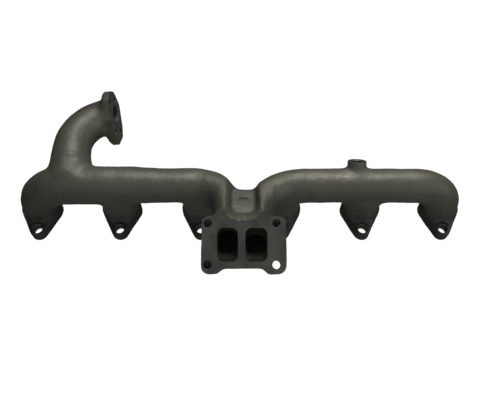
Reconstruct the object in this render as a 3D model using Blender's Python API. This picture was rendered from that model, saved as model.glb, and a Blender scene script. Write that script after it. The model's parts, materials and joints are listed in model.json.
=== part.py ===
"""Exhaust manifold for an inline six-cylinder engine.

A cast-iron log manifold: six port flanges bolt to the cylinder head, six short runners lead into
a long log in two halves, two necks lead both halves down to a divided turbocharger flange, and an
elbow carries gas to the recirculation cooler. The row of cylinders runs along X, the cylinder head
is at +Y, and Z is up. The origin lies on the head face, midway between the third and fourth ports.
"""

import math

import bmesh
import bpy
from mathutils import Matrix, Vector

# ---- driving dimensions, in metres ----
PORT_PITCH = 0.1215
PORT_COUNT = 6
GAP = 0.0003
WALL = 0.006

FLANGE_THICKNESS = 0.0165
FLANGE_BOLT_HEIGHT = 0.0374
FLANGE_BOLT_RADIUS = 0.0070
FLANGE_TIP_RADIUS = 0.0123
FLANGE_WAIST = 0.0303
FLANGE_WAIST_RADIUS = 0.0182
PORT_RADIUS = 0.0180

LOG_OUT = 0.066
LOG_RISE = 0.0085
LOG_RADIUS = 0.0258
LOG_FAT_RADIUS = 0.0285
RUNNER_RADIUS = 0.0275
RUNNER_BORE = 0.0175
BEND_RADIUS = 0.046
BEND_TAIL = 0.004
LOG_STOPS = {-1: 0.085, 1: 0.100}
TAPER_START = 0.160
TAPER_END = 0.125

TURBO_CENTRE = Vector((0.0, -0.1148, -0.1065))
TURBO_TILT = math.radians(21.0)
TURBO_THICKNESS = 0.015
TURBO_BOLT_X = 0.0450
TURBO_BOLT_Z = 0.0270
TURBO_BOLT_RADIUS = 0.0055
BLIND_DEPTH = 0.0125
TURBO_PORT_HEIGHT = 0.0440
TURBO_PORT_CORNER = 0.0085

NECK_X = 0.0186
NECK_WIDE = 0.0192
NECK_TALL = 0.0280
NECK_SQUARE = 1.2
NECK_BENDS = {-1: 0.0520, 1: 0.0770}
NECK_LIFT = 0.009
NECK_OVERRUN = 0.045
BEND_SHARE = 0.55

EGR_X = -0.2545
EGR_RADIUS = 0.0286
RISER_TOP = 0.070
EGR_PUSH = 0.095
EGR_PULL = 0.060
EGR_LEAD = 0.004
EGR_FACE = Vector((-0.1970, -0.0580, 0.1372))
EGR_YAW = math.radians(-9.0)
EGR_THICKNESS = 0.0145
EGR_BORE_RADIUS = 0.0125
EGR_BORE_RISE = 0.005
EGR_BOLT_RADIUS = 0.0045

BOSS_X = 0.1675
BOSS_RADIUS = 0.0140
BOSS_HOLE_RADIUS = 0.0085
BOSS_LEAN = math.radians(44.0)
BOSS_TOP = 0.0370
BOSS_FOOT = 0.015

RING = 28
SMALL_RING = 20
REACH = 0.01
FLANGE_COLOUR = (0.045, 0.043, 0.040, 1.0)
CAST_COLOUR = (0.155, 0.147, 0.118, 1.0)
MACHINED_COLOUR = (0.230, 0.225, 0.205, 1.0)

for leftover in list(bpy.data.objects):
    bpy.data.objects.remove(leftover)

parts = bpy.data.collections.new("exhaust_manifold")
cutters = bpy.data.collections.new("cutters")
bpy.context.scene.collection.children.link(parts)
bpy.context.scene.collection.children.link(cutters)


def make_material(name, colour, roughness, metallic):
    material = bpy.data.materials.new(name)
    material.use_nodes = True
    shader = material.node_tree.nodes["Principled BSDF"]
    shader.inputs["Base Color"].default_value = colour
    shader.inputs["Roughness"].default_value = roughness
    shader.inputs["Metallic"].default_value = metallic
    return material


CAST = ("cast_iron", CAST_COLOUR, 0.6, 0.5)
DARK = ("dark_cast_iron", FLANGE_COLOUR, 0.65, 0.4)
MACHINED = ("machined_iron", MACHINED_COLOUR, 0.4, 0.8)


def keep(shape, name, finish):
    """Files a finished shape as a part with its own material."""
    shape.name = name
    shape.data.name = name
    label, colour, roughness, metallic = finish
    shape.data.materials.clear()
    shape.data.materials.append(make_material(f"{name}_{label}", colour, roughness, metallic))
    shape.data.shade_smooth()
    shape.data.set_sharp_from_angle(angle=math.radians(35))
    cutters.objects.unlink(shape)
    parts.objects.link(shape)
    return shape


def tool_object(name, mesh):
    """Links a mesh among the cutters, hidden from renders."""
    solid = bpy.data.objects.new(name, mesh)
    solid.hide_render = True
    solid.display_type = "WIRE"
    cutters.objects.link(solid)
    return solid


def show(shape):
    shape.hide_render = False
    shape.display_type = "TEXTURED"
    return shape


def solid_from_curve(curve_data, name, place=Matrix.Identity(4)):
    """Turns a curve into a welded mesh object among the cutters."""
    holder = bpy.data.objects.new(name, curve_data)
    holder.matrix_world = place
    cutters.objects.link(holder)
    bpy.context.view_layer.update()
    graph = bpy.context.evaluated_depsgraph_get()
    mesh = bpy.data.meshes.new_from_object(holder.evaluated_get(graph))
    work = bmesh.new()
    work.from_mesh(mesh)
    bmesh.ops.remove_doubles(work, verts=work.verts, dist=1e-6)
    bmesh.ops.recalc_face_normals(work, faces=work.faces)
    work.to_mesh(mesh)
    work.free()
    mesh.transform(holder.matrix_world)
    bpy.data.objects.remove(holder)
    return tool_object(name, mesh)


def tube(name, points, radius, ring=RING, radii=None):
    """A round bar along the points, with an optional radius at each point."""
    curve = bpy.data.curves.new(name, "CURVE")
    curve.dimensions = "3D"
    curve.bevel_depth = radius
    curve.bevel_resolution = ring // 4 - 1
    curve.use_fill_caps = True
    spline = curve.splines.new("POLY")
    spline.points.add(len(points) - 1)
    for index, (slot, point) in enumerate(zip(spline.points, points)):
        slot.co = (*point, 1.0)
        slot.radius = radii[index] / radius if radii else 1.0
    return solid_from_curve(curve, name)


def arc(centre, radius, start, stop, steps):
    """Points on an arc in a plane, angles in radians."""
    turn = (stop - start) / steps
    angles = [start + turn * step for step in range(steps + 1)]
    return [(centre[0] + radius * math.cos(a), centre[1] + radius * math.sin(a)) for a in angles]


def circle(centre, radius, steps=SMALL_RING):
    return arc(centre, radius, 0.0, math.tau, steps)[:-1]


def hull(circles, steps=5):
    """The closed outline of a belt round circles (x, y, radius) given anticlockwise."""
    count = len(circles)
    tangents = []
    for index in range(count):
        x0, y0, r0 = circles[index]
        x1, y1, r1 = circles[(index + 1) % count]
        heading = math.atan2(y1 - y0, x1 - x0)
        lean = math.asin((r1 - r0) / math.hypot(x1 - x0, y1 - y0))
        tangents.append(heading - math.pi / 2 - lean)
    outline = []
    for index, (x, y, radius) in enumerate(circles):
        start = tangents[index - 1]
        stop = tangents[index]
        while stop < start:
            stop += math.tau
        outline += arc((x, y), radius, start, stop, steps)
    return outline


def rounded(corners, steps=4):
    """A closed outline through corners (x, y, radius), each rounded by its radius."""
    outline = []
    count = len(corners)
    for index, (x, y, radius) in enumerate(corners):
        here = Vector((x, y))
        before = (Vector(corners[index - 1][:2]) - here).normalized()
        after = (Vector(corners[(index + 1) % count][:2]) - here).normalized()
        half = before.angle(after) / 2
        reach = radius / math.tan(half)
        centre = here + (before + after).normalized() * radius / math.sin(half)
        first = here + before * reach - centre
        last = here + after * reach - centre
        sweep = first.angle_signed(last)
        base = math.atan2(first.y, first.x)
        outline += arc(centre, radius, base, base - sweep, steps)
    return outline


def plate(name, outlines, thickness, place):
    """A flat plate from an outline and its holes; its thickness is centred on its local XY plane."""
    curve = bpy.data.curves.new(name, "CURVE")
    curve.dimensions = "2D"
    curve.fill_mode = "BOTH"
    curve.extrude = thickness / 2
    for outline in outlines:
        spline = curve.splines.new("POLY")
        spline.points.add(len(outline) - 1)
        for slot, point in zip(spline.points, outline):
            slot.co = (point[0], point[1], 0.0, 1.0)
        spline.use_cyclic_u = True
    return solid_from_curve(curve, name, place)


def loft(name, rings):
    """A closed body through rings of points between unlike sections."""
    count = len(rings[0])
    mesh = bpy.data.meshes.new(name)
    vertices = [point for ring in rings for point in ring]
    faces = []
    for level in range(len(rings) - 1):
        for side in range(count):
            step = (side + 1) % count
            low = level * count
            faces.append((low + side, low + step, low + count + step, low + count + side))
    faces.append(tuple(range(count)))
    faces.append(tuple(range((len(rings) - 1) * count, len(rings) * count)))
    mesh.from_pydata(vertices, [], faces)
    work = bmesh.new()
    work.from_mesh(mesh)
    bmesh.ops.recalc_face_normals(work, faces=work.faces)
    bmesh.ops.triangulate(work, faces=work.faces)
    work.to_mesh(mesh)
    work.free()
    return tool_object(name, mesh)


def block(name, low, high):
    """A box between two corners."""
    work = bmesh.new()
    bmesh.ops.create_cube(work, size=1.0)
    size = Vector(high) - Vector(low)
    bmesh.ops.scale(work, vec=size, verts=work.verts)
    bmesh.ops.translate(work, vec=(Vector(high) + Vector(low)) / 2, verts=work.verts)
    mesh = bpy.data.meshes.new(name)
    work.to_mesh(mesh)
    work.free()
    return tool_object(name, mesh)


def combine(shape, tools, operation="DIFFERENCE", solver="EXACT"):
    """Applies Booleans of the tools to the shape."""
    for tool in tools:
        modifier = shape.modifiers.new(operation.lower(), "BOOLEAN")
        modifier.operation = operation
        modifier.solver = solver
        modifier.object = tool
    bpy.context.view_layer.update()
    graph = bpy.context.evaluated_depsgraph_get()
    mesh = bpy.data.meshes.new_from_object(shape.evaluated_get(graph))
    shape.modifiers.clear()
    shape.data = mesh
    return show(shape)


def port_x(number):
    return (number - (PORT_COUNT + 1) / 2) * PORT_PITCH


def end_bend(side, first_y, extra=0.0):
    """The path from an end port, round the bend and into the log; side is -1 or 1."""
    port = side * (PORT_COUNT - 1) / 2 * PORT_PITCH
    start_y = -LOG_OUT + BEND_RADIUS
    points = [(port, first_y, LOG_RISE / 3)]
    for angle_step in range(9):
        angle = math.pi / 2 * angle_step / 8
        x = port - side * BEND_RADIUS * (1 - math.cos(angle))
        y = start_y - BEND_RADIUS * math.sin(angle)
        rise = LOG_RISE * (1 + 2 * angle_step / 8) / 3
        points.append((x, y, rise))
    points.append((port - side * (BEND_RADIUS + BEND_TAIL + extra), -LOG_OUT, LOG_RISE))
    return points


# ---- port flanges: diamond plates with a port and two bolt holes ----
flange_place = Matrix.Translation((0, -FLANGE_THICKNESS / 2, 0)) @ Matrix.Rotation(math.pi / 2, 4, "X")
waist_x = FLANGE_WAIST - FLANGE_WAIST_RADIUS
flange_outline = hull(
    [
        (0, -FLANGE_BOLT_HEIGHT, FLANGE_TIP_RADIUS),
        (waist_x, 0, FLANGE_WAIST_RADIUS),
        (0, FLANGE_BOLT_HEIGHT, FLANGE_TIP_RADIUS),
        (-waist_x, 0, FLANGE_WAIST_RADIUS),
    ]
)
for number in range(1, PORT_COUNT + 1):
    place = Matrix.Translation((port_x(number), 0, 0)) @ flange_place
    holes = [circle((0, side * FLANGE_BOLT_HEIGHT), FLANGE_BOLT_RADIUS) for side in (-1, 1)]
    outlines = [flange_outline, circle((0, 0), PORT_RADIUS, RING)] + holes
    shape = plate("flange", outlines, FLANGE_THICKNESS, place)
    keep(show(shape), f"port_flange_{number}", DARK)

# ---- the two necks: each turns from round at the log to a rounded slot at the turbo flange ----
face_normal = Vector((0, -math.cos(TURBO_TILT), -math.sin(TURBO_TILT)))
face_up = Vector((0, -math.sin(TURBO_TILT), math.cos(TURBO_TILT)))
turbo_back = TURBO_CENTRE - face_normal * TURBO_THICKNESS
turbo_turn = Matrix(
    (
        (1, 0, 0),
        (0, face_up.y, face_normal.y),
        (0, face_up.z, face_normal.z),
    )
).to_4x4()


neck_start = Vector((0, -LOG_OUT, LOG_RISE))
neck_finish = turbo_back + face_up * NECK_LIFT
neck_down = (neck_finish - neck_start).normalized()
neck_front = Vector((1, 0, 0)).cross(neck_down).normalized()
if neck_front.y > 0:
    neck_front = -neck_front
neck_drop = (neck_finish - neck_start).length


def neck_section(centre, heading, share, growth):
    """A ring of points: round where share is 0, a rounded slot where it is 1."""
    sideways = neck_front.cross(heading)
    half_wide = LOG_RADIUS + (NECK_WIDE - LOG_RADIUS) * share + growth
    half_tall = LOG_RADIUS + (NECK_TALL - LOG_RADIUS) * share + growth
    power = 2 / (2.0 + NECK_SQUARE * share)
    ring = []
    for step in range(RING):
        angle = math.tau * step / RING
        wide = math.copysign(abs(math.cos(angle)) ** power, math.cos(angle))
        tall = math.copysign(abs(math.sin(angle)) ** power, math.sin(angle))
        ring.append(centre + sideways * wide * half_wide + neck_front * tall * half_tall)
    return ring


def neck_body(name, side, growth, lead=0.0, bend_steps=10):
    """A neck as a solid: out of the log, round a quarter turn and down past the turbo flange."""
    radius = NECK_BENDS[side]
    inward = Vector((-side, 0, 0))
    start = neck_start - inward * (NECK_X + radius)
    first = neck_start - inward * (LOG_STOPS[side] + lead)
    rings = [neck_section(first, inward, 0.0, growth)]
    for step in range(bend_steps + 1):
        angle = math.pi / 2 * step / bend_steps
        point = start + inward * radius * math.sin(angle) + neck_down * radius * (1 - math.cos(angle))
        heading = inward * math.cos(angle) + neck_down * math.sin(angle)
        rings.append(neck_section(point, heading, BEND_SHARE * step / bend_steps, growth))
    foot = start + inward * radius
    for share in (0.35, 0.7, 1.0):
        point = foot + neck_down * (radius + (neck_drop - radius) * share)
        rings.append(neck_section(point, neck_down, BEND_SHARE + (1 - BEND_SHARE) * share, growth))
    rings.append(neck_section(point + neck_down * NECK_OVERRUN, neck_down, 1.0, growth))
    return loft(name, rings)


def turbo_room(name):
    """Everything in front of the turbo flange's back face, less a small gap."""
    room = block(name, (-0.1, -0.1, 0.0), (0.1, 0.1, 0.1))
    room.data.transform(Matrix.Translation(turbo_back - face_normal * GAP) @ turbo_turn)
    return room


middle_keep = {-1: ((-0.2, -0.3, -0.3), (-GAP / 2, 0.1, 0.3)), 1: ((GAP / 2, -0.3, -0.3), (0.2, 0.1, 0.3))}

def log_bar(name, side, growth, more=0.0):
    """One straight half of the log; the left one is fatter towards its end."""
    fat = (LOG_FAT_RADIUS if side < 0 else LOG_RADIUS) + growth
    thin = LOG_RADIUS + growth
    reach = [bend_end - GAP + more, TAPER_START, TAPER_END, LOG_STOPS[side] + GAP - more]
    points = [(side * x, -LOG_OUT, LOG_RISE) for x in reach]
    return tube(name, points, LOG_RADIUS, radii=[fat, fat, thin, thin])


def runner_drill(number):
    """The straight bore from the port face into the log."""
    x = port_x(number)
    points = [(x, REACH, LOG_RISE / 3), (x, -LOG_OUT - REACH / 2, LOG_RISE)]
    return tube("runner_drill", points, RUNNER_BORE, SMALL_RING)


# ---- log halves, necks, runners ----
bend_end = (PORT_COUNT - 1) / 2 * PORT_PITCH - BEND_RADIUS - BEND_TAIL
boss_turn = Matrix.Translation((BOSS_X, -LOG_OUT, LOG_RISE)) @ Matrix.Rotation(BOSS_LEAN, 4, "X")
boss_axis = [boss_turn @ Vector((0, 0, z)) for z in (0.0, BOSS_TOP + REACH)]
boss_hole = tube("boss_hole", boss_axis, BOSS_HOLE_RADIUS, SMALL_RING)
egr_axis = [(EGR_X, -LOG_OUT, LOG_RISE), (EGR_X, -LOG_OUT, RISER_TOP + 4 * REACH)]
end_hole = tube("end_hole", egr_axis, EGR_RADIUS + GAP)

for side, label in ((-1, "left"), (1, "right")):
    outer, middle, inner = (1, 2, 3) if side < 0 else (6, 5, 4)
    fat = LOG_FAT_RADIUS if side < 0 else LOG_RADIUS
    log = log_bar("log", side, 0.0)
    log_bore = log_bar("log_bore", side, -WALL, 2 * REACH)
    branch = end_hole if side < 0 else boss_hole
    keep(combine(log, [log_bore, runner_drill(middle), branch]), f"log_{label}", CAST)

    neck = combine(neck_body("neck", side, 0.0), [block("middle", *middle_keep[side])], "INTERSECT")
    neck_bore = neck_body("neck_bore", side, -WALL, 2 * REACH)
    tools = [turbo_room("flange_room"), neck_bore, runner_drill(inner)]
    keep(combine(neck, tools), f"neck_{label}", CAST)

    log_room = log_bar("log_room", side, GAP)
    neck_room = neck_body("neck_room", side, GAP)
    for number, rooms in ((middle, [log_room]), (inner, [neck_room, log_room])):
        x = port_x(number)
        path = [(x, -FLANGE_THICKNESS - away, LOG_RISE / 3) for away in (GAP, BEND_TAIL)]
        path.append((x, -LOG_OUT * 0.75, LOG_RISE))
        runner = tube("runner", path, RUNNER_RADIUS)
        keep(combine(runner, [runner_drill(number), *rooms]), f"runner_{number}", CAST)

    swell = [RUNNER_RADIUS + (fat - RUNNER_RADIUS) * step / 10 for step in range(11)]
    bend = tube("bend", end_bend(side, -FLANGE_THICKNESS - GAP), RUNNER_RADIUS, radii=swell)
    widen = [RUNNER_BORE + (fat - WALL - RUNNER_BORE) * step / 10 for step in range(11)]
    bend_bore = tube("bend_bore", end_bend(side, REACH, 2 * REACH), RUNNER_BORE, radii=widen)
    tools = [bend_bore, end_hole] if side < 0 else [bend_bore]
    keep(combine(bend, tools), f"runner_{outer}", CAST)

# ---- gas recirculation take-off: riser, elbow and four-bolt flange ----
egr_normal = Vector((math.cos(EGR_YAW), math.sin(EGR_YAW), 0))
egr_back = EGR_FACE - egr_normal * (EGR_THICKNESS + GAP)
riser = tube("riser", [(EGR_X, -LOG_OUT, LOG_RISE), (EGR_X, -LOG_OUT, RISER_TOP)], EGR_RADIUS)
log_inside = [(EGR_X + away, -LOG_OUT, LOG_RISE) for away in (-2 * EGR_RADIUS, 2 * EGR_RADIUS)]
left_log_room = tube("left_log_room", log_inside, LOG_FAT_RADIUS - WALL)
riser_axis = [(EGR_X, -LOG_OUT, -REACH), (EGR_X, -LOG_OUT, RISER_TOP + REACH)]
riser_bore = tube("riser_bore", riser_axis, EGR_RADIUS - WALL, SMALL_RING)
keep(combine(riser, [riser_bore, left_log_room]), "egr_riser", CAST)

elbow_start = Vector((EGR_X, -LOG_OUT, RISER_TOP + GAP))


def elbow_points(steps, lead, tail):
    """A smooth quarter turn from the riser's top to the flange's back."""
    push = Vector((0, 0, EGR_PUSH))
    pull = egr_normal * EGR_PULL
    foot = elbow_start + Vector((0, 0, EGR_LEAD))
    points = [elbow_start - Vector((0, 0, lead))]
    for step in range(steps + 1):
        s = step / steps
        point = foot * (2 * s**3 - 3 * s**2 + 1) + push * (s**3 - 2 * s**2 + s)
        point += egr_back * (3 * s**2 - 2 * s**3) + pull * (s**3 - s**2)
        points.append(point)
    points.append(egr_back + egr_normal * tail)
    return points


elbow_steps = 14
elbow_radii = [EGR_RADIUS - 0.0010 * step / elbow_steps for step in range(elbow_steps + 3)]
elbow = tube("elbow", elbow_points(elbow_steps, 0, REACH), EGR_RADIUS, radii=elbow_radii)
bore_radii = [r - WALL for r in elbow_radii]
bore_path = elbow_points(elbow_steps, REACH, REACH + GAP)
elbow_bore = tube("elbow_bore", bore_path, EGR_RADIUS - WALL, radii=bore_radii)
egr_turn = Matrix(
    (
        (math.sin(-EGR_YAW), 0, egr_normal.x),
        (math.cos(EGR_YAW), 0, egr_normal.y),
        (0, 1, 0),
    )
).to_4x4()
room_half = 2 * EGR_RADIUS
elbow_room = block("elbow_room", (-room_half, -room_half, 0.0), (room_half, room_half, room_half))
elbow_room.data.transform(Matrix.Translation(egr_back) @ egr_turn)
keep(combine(elbow, [elbow_bore, elbow_room]), "egr_elbow", CAST)
egr_place = Matrix.Translation(EGR_FACE - egr_normal * EGR_THICKNESS / 2) @ egr_turn
egr_bolts = [(-0.0260, 0.0060), (0.0090, -0.0220), (0.0280, -0.0090), (-0.0110, 0.0235)]
egr_outline = rounded(
    [
        (-0.0370, 0.0050, 0.0060),
        (-0.0200, -0.0210, 0.0060),
        (0.0150, -0.0390, 0.0060),
        (0.0280, -0.0360, 0.0060),
        (0.0400, -0.0120, 0.0070),
        (0.0330, 0.0040, 0.0100),
        (0.0080, 0.0300, 0.0080),
        (-0.0190, 0.0340, 0.0060),
        (-0.0350, 0.0230, 0.0060),
    ]
)
egr_holes = [circle(bolt, EGR_BOLT_RADIUS, 16) for bolt in egr_bolts]
egr_holes.append(circle((0, EGR_BORE_RISE), EGR_BORE_RADIUS))
egr_flange = show(plate("egr", [egr_outline, *egr_holes], EGR_THICKNESS, egr_place))
keep(egr_flange, "egr_flange", MACHINED)

# ---- threaded boss on the right half of the log ----
boss_ends = [boss_turn @ Vector((0, 0, z)) for z in (BOSS_FOOT, BOSS_TOP)]
boss = tube("boss", boss_ends, BOSS_RADIUS, SMALL_RING)
seat_axis = [(BOSS_X + away, -LOG_OUT, LOG_RISE) for away in (-2 * BOSS_RADIUS, 2 * BOSS_RADIUS)]
boss_seat = tube("boss_seat", seat_axis, LOG_RADIUS + GAP)
keep(combine(boss, [boss_hole, boss_seat]), "sensor_boss", CAST)

# ---- divided turbocharger flange ----
turbo_place = Matrix.Translation(TURBO_CENTRE - face_normal * TURBO_THICKNESS / 2) @ turbo_turn
turbo_outline = rounded(
    [
        (-0.0530, -0.0395, 0.0100),
        (-0.0325, -0.0395, 0.0040),
        (-0.0245, -0.0320, 0.0050),
        (0.0265, -0.0320, 0.0050),
        (0.0345, -0.0400, 0.0040),
        (0.0580, -0.0400, 0.0110),
        (0.0580, 0.0370, 0.0100),
        (0.0400, 0.0370, 0.0030),
        (0.0330, 0.0435, 0.0030),
        (0.0225, 0.0435, 0.0020),
        (0.0225, 0.0320, 0.0080),
        (-0.0208, 0.0320, 0.0080),
        (-0.0208, 0.0470, 0.0020),
        (-0.0300, 0.0470, 0.0030),
        (-0.0380, 0.0370, 0.0030),
        (-0.0530, 0.0370, 0.0100),
    ]
)
half_port = TURBO_PORT_HEIGHT / 2
turbo_ports = []
for low, high in ((-0.0325, -0.0052), (0.0043, 0.0332)):
    corners = [(low, -half_port), (high, -half_port), (high, half_port), (low, half_port)]
    turbo_ports.append(rounded([(x, z - 0.001, TURBO_PORT_CORNER) for x, z in corners]))
turbo_bolts = [(x * TURBO_BOLT_X, z * TURBO_BOLT_Z) for x in (-1, 1) for z in (-1, 1)]
blind_bolt = turbo_bolts.pop(0)
turbo_holes = [circle(bolt, TURBO_BOLT_RADIUS) for bolt in turbo_bolts]
turbo = plate("turbo", [turbo_outline, *turbo_ports, *turbo_holes], TURBO_THICKNESS, turbo_place)
blind_place = Matrix.Translation(TURBO_CENTRE) @ turbo_turn
blind_hole = plate("blind_hole", [circle(blind_bolt, TURBO_BOLT_RADIUS)], 2 * BLIND_DEPTH, blind_place)
keep(combine(turbo, [blind_hole], solver="MANIFOLD"), "turbo_flange", MACHINED)

print("parts:", len(parts.objects))
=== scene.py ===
# %% [markdown]
# # A cast-iron exhaust manifold
#
# This lesson makes the manifold the way a foundry does. First comes a pattern: simple tubes and
# plates, blended into one skin with soft fillets. Then sand cores leave the gas passages, and at the
# end a machine shop mills the joint faces and drills the bolt holes. Working in that order gives the
# look of the real thing: soft, slightly uneven skin next to crisp machined edges.

# %% Load the frame
import json
import math

import bmesh
import bpy
import numpy as np
from mathutils import Matrix, Vector, noise


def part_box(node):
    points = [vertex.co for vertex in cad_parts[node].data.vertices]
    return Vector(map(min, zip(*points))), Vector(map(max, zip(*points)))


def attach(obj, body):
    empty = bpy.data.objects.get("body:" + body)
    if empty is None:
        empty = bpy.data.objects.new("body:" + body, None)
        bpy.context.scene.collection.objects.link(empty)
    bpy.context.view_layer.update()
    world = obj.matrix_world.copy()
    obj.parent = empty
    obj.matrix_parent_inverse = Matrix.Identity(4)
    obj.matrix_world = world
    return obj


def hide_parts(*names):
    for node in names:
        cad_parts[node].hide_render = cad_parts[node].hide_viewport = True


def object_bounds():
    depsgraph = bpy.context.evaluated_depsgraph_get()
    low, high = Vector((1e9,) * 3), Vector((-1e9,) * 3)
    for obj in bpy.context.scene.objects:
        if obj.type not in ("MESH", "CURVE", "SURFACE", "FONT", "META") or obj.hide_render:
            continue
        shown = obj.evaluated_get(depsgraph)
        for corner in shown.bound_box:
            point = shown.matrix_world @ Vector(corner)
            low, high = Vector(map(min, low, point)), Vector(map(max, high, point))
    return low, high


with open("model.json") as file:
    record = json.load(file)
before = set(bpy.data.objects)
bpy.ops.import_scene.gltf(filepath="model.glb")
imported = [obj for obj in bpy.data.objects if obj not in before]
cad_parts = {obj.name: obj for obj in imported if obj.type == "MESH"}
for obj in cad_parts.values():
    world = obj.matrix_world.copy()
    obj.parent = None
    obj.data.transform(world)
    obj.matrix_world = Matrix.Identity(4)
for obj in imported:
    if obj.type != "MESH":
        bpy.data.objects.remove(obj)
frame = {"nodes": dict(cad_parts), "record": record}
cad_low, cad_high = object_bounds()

print("the frame holds", len(frame["nodes"]), "nodes")

# %% [markdown]
# ## Where things are
#
# The frame already knows every place that matters: each flange has a box, and the mounts of the
# record give the middle and the direction of each machined face. Reading them from there means that
# no place is written twice.

# %% Places read from the frame
mounts = {mount["name"]: mount for mount in frame["record"]["mounts"]}


def corners(node):
    low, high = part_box(node)
    return Vector(low), Vector(high)


port_places = []
for number in range(1, 7):
    low, high = corners(f"port_flange_{number}")
    port_places.append((low.x + high.x) / 2)
flange_front = corners("port_flange_1")[0].y
waist = (high.x - low.x) / 2
tip = high.z

low, high = corners("log_right")
log_y, log_z = (low.y + high.y) / 2, (low.z + high.z) / 2
log_radius = (high.z - low.z) / 2
bend_start = high.x
log_stops = {-1: -corners("log_left")[1].x, 1: low.x}
low, high = corners("log_left")
fat_radius = (high.z - low.z) / 2
low, high = corners("runner_2")
runner_radius = (high.x - low.x) / 2
low, high = corners("egr_riser")
riser_x = (low.x + high.x) / 2
riser_radius = (high.x - low.x) / 2
riser_top = high.z
print("ports at", [round(x, 3) for x in port_places], "log radius", round(log_radius, 4))

# %% Machined faces read from the record
turbo_middle = Vector(mounts["turbo_face"]["pos_m"])
turbo_out = Vector(mounts["turbo_face"]["axis"])
turbo_up = Vector((0, turbo_out.z, -turbo_out.y))
egr_out = Vector(mounts["egr_face"]["axis"])
egr_side = Vector((-egr_out.y, egr_out.x, 0))
egr_middle = Vector(mounts["egr_face"]["pos_m"]) + egr_side * 0.0176 - Vector((0, 0, 0.0035))
boss_out = Vector(mounts["sensor_seat"]["axis"])
boss_top = Vector(mounts["sensor_seat"]["pos_m"]) - Vector((0.01125, 0, 0))
turbo_thickness = 0.015
egr_thickness = 0.0145
print("turbo face leans", round(math.degrees(math.asin(-turbo_out.z)), 1), "degrees down")


def stand(middle, side, up, out):
    """A matrix that puts a flat drawing's X along side, Y along up and Z along out."""
    turned = Matrix((side, up, out)).transposed().to_4x4()
    return Matrix.Translation(middle) @ turned


turbo_place = stand(turbo_middle, Vector((1, 0, 0)), turbo_up, turbo_out)
egr_place = stand(egr_middle, egr_side, Vector((0, 0, 1)), egr_out)
head_place = stand(Vector(), Vector((-1, 0, 0)), Vector((0, 0, 1)), Vector((0, 1, 0)))

# %% [markdown]
# ## Four kinds of surface
#
# Every face of the casting was made by one of four things: the sand mould, a sand core, a milling
# cutter or a drill. A Boolean keeps the material slot of the tool that made each new face, so the
# slots are set up first, in one fixed order, and every tool carries all of them. The fifth slot is
# for the hidden joints between pieces.

# %% The shared material slots
SKIN, CORE, MILLED, DRILLED, JOINT = range(5)
surface_names = ("sand_skin", "cored_passage", "milled_face", "drilled_wall", "joint")
surfaces = [bpy.data.materials.new(name) for name in surface_names]
print("surface kinds:", ", ".join(surface_names))


def new_object(name, mesh, kind=SKIN):
    """Links a mesh as an object whose faces all use one of the shared slots."""
    thing = bpy.data.objects.new(name, mesh)
    mesh.materials.clear()
    for surface in surfaces:
        mesh.materials.append(surface)
    mesh.polygons.foreach_set("material_index", np.full(len(mesh.polygons), kind, dtype=np.int32))
    bpy.context.scene.collection.objects.link(thing)
    return thing


def evaluated_mesh(thing):
    """The mesh of an object with its modifiers applied."""
    bpy.context.view_layer.update()
    graph = bpy.context.evaluated_depsgraph_get()
    return bpy.data.meshes.new_from_object(thing.evaluated_get(graph))


def discard(*things):
    for thing in things:
        bpy.data.objects.remove(thing)


# %% [markdown]
# ## The pattern maker's tools
#
# Round pipes are curves with a bevel, because a curve keeps its section square to its path through
# any bend. Flanges are flat outlines with a thickness. A Boolean joins, cuts or parts them, and a
# voxel remesh melts overlapping shapes into one skin.


# %% Bars and tubes
def bar(name, points, radii, sides=48, kind=SKIN):
    """A round bar through points, with a radius at each one."""
    curve = bpy.data.curves.new(name, "CURVE")
    curve.dimensions = "3D"
    curve.bevel_depth = 1.0
    curve.bevel_resolution = sides // 4 - 1
    curve.use_fill_caps = True
    spline = curve.splines.new("POLY")
    spline.points.add(len(points) - 1)
    for slot, point, radius in zip(spline.points, points, radii):
        slot.co = (*point, 1.0)
        slot.radius = radius
    return solid_of(name, curve, Matrix.Identity(4), kind)


def solid_of(name, curve, place, kind):
    """Turns a curve into a closed mesh object."""
    holder = bpy.data.objects.new(name, curve)
    bpy.context.scene.collection.objects.link(holder)
    mesh = evaluated_mesh(holder)
    discard(holder)
    work = bmesh.new()
    work.from_mesh(mesh)
    bmesh.ops.remove_doubles(work, verts=work.verts, dist=1e-6)
    bmesh.ops.recalc_face_normals(work, faces=work.faces)
    work.to_mesh(mesh)
    work.free()
    mesh.transform(place)
    return new_object(name, mesh, kind)


# %% Flat plates
def arc(middle, radius, start, stop, steps):
    """Points along an arc from one angle to another."""
    angles = [start + (stop - start) * step / steps for step in range(steps + 1)]
    return [(middle[0] + radius * math.cos(a), middle[1] + radius * math.sin(a)) for a in angles]


def ring(middle, radius, steps=48):
    """Points round a full circle."""
    return arc(middle, radius, 0.0, math.tau, steps)[:-1]


def belt(circles, steps=10):
    """The outline of a belt pulled round circles (x, y, radius), given anticlockwise."""
    turns = []
    for index, (x0, y0, r0) in enumerate(circles):
        x1, y1, r1 = circles[(index + 1) % len(circles)]
        lean = math.asin((r1 - r0) / math.hypot(x1 - x0, y1 - y0))
        turns.append(math.atan2(y1 - y0, x1 - x0) - math.pi / 2 - lean)
    outline = []
    for index, (x, y, radius) in enumerate(circles):
        start, stop = turns[index - 1], turns[index]
        while stop < start:
            stop += math.tau
        outline += arc((x, y), radius, start, stop, steps)
    return outline


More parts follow.
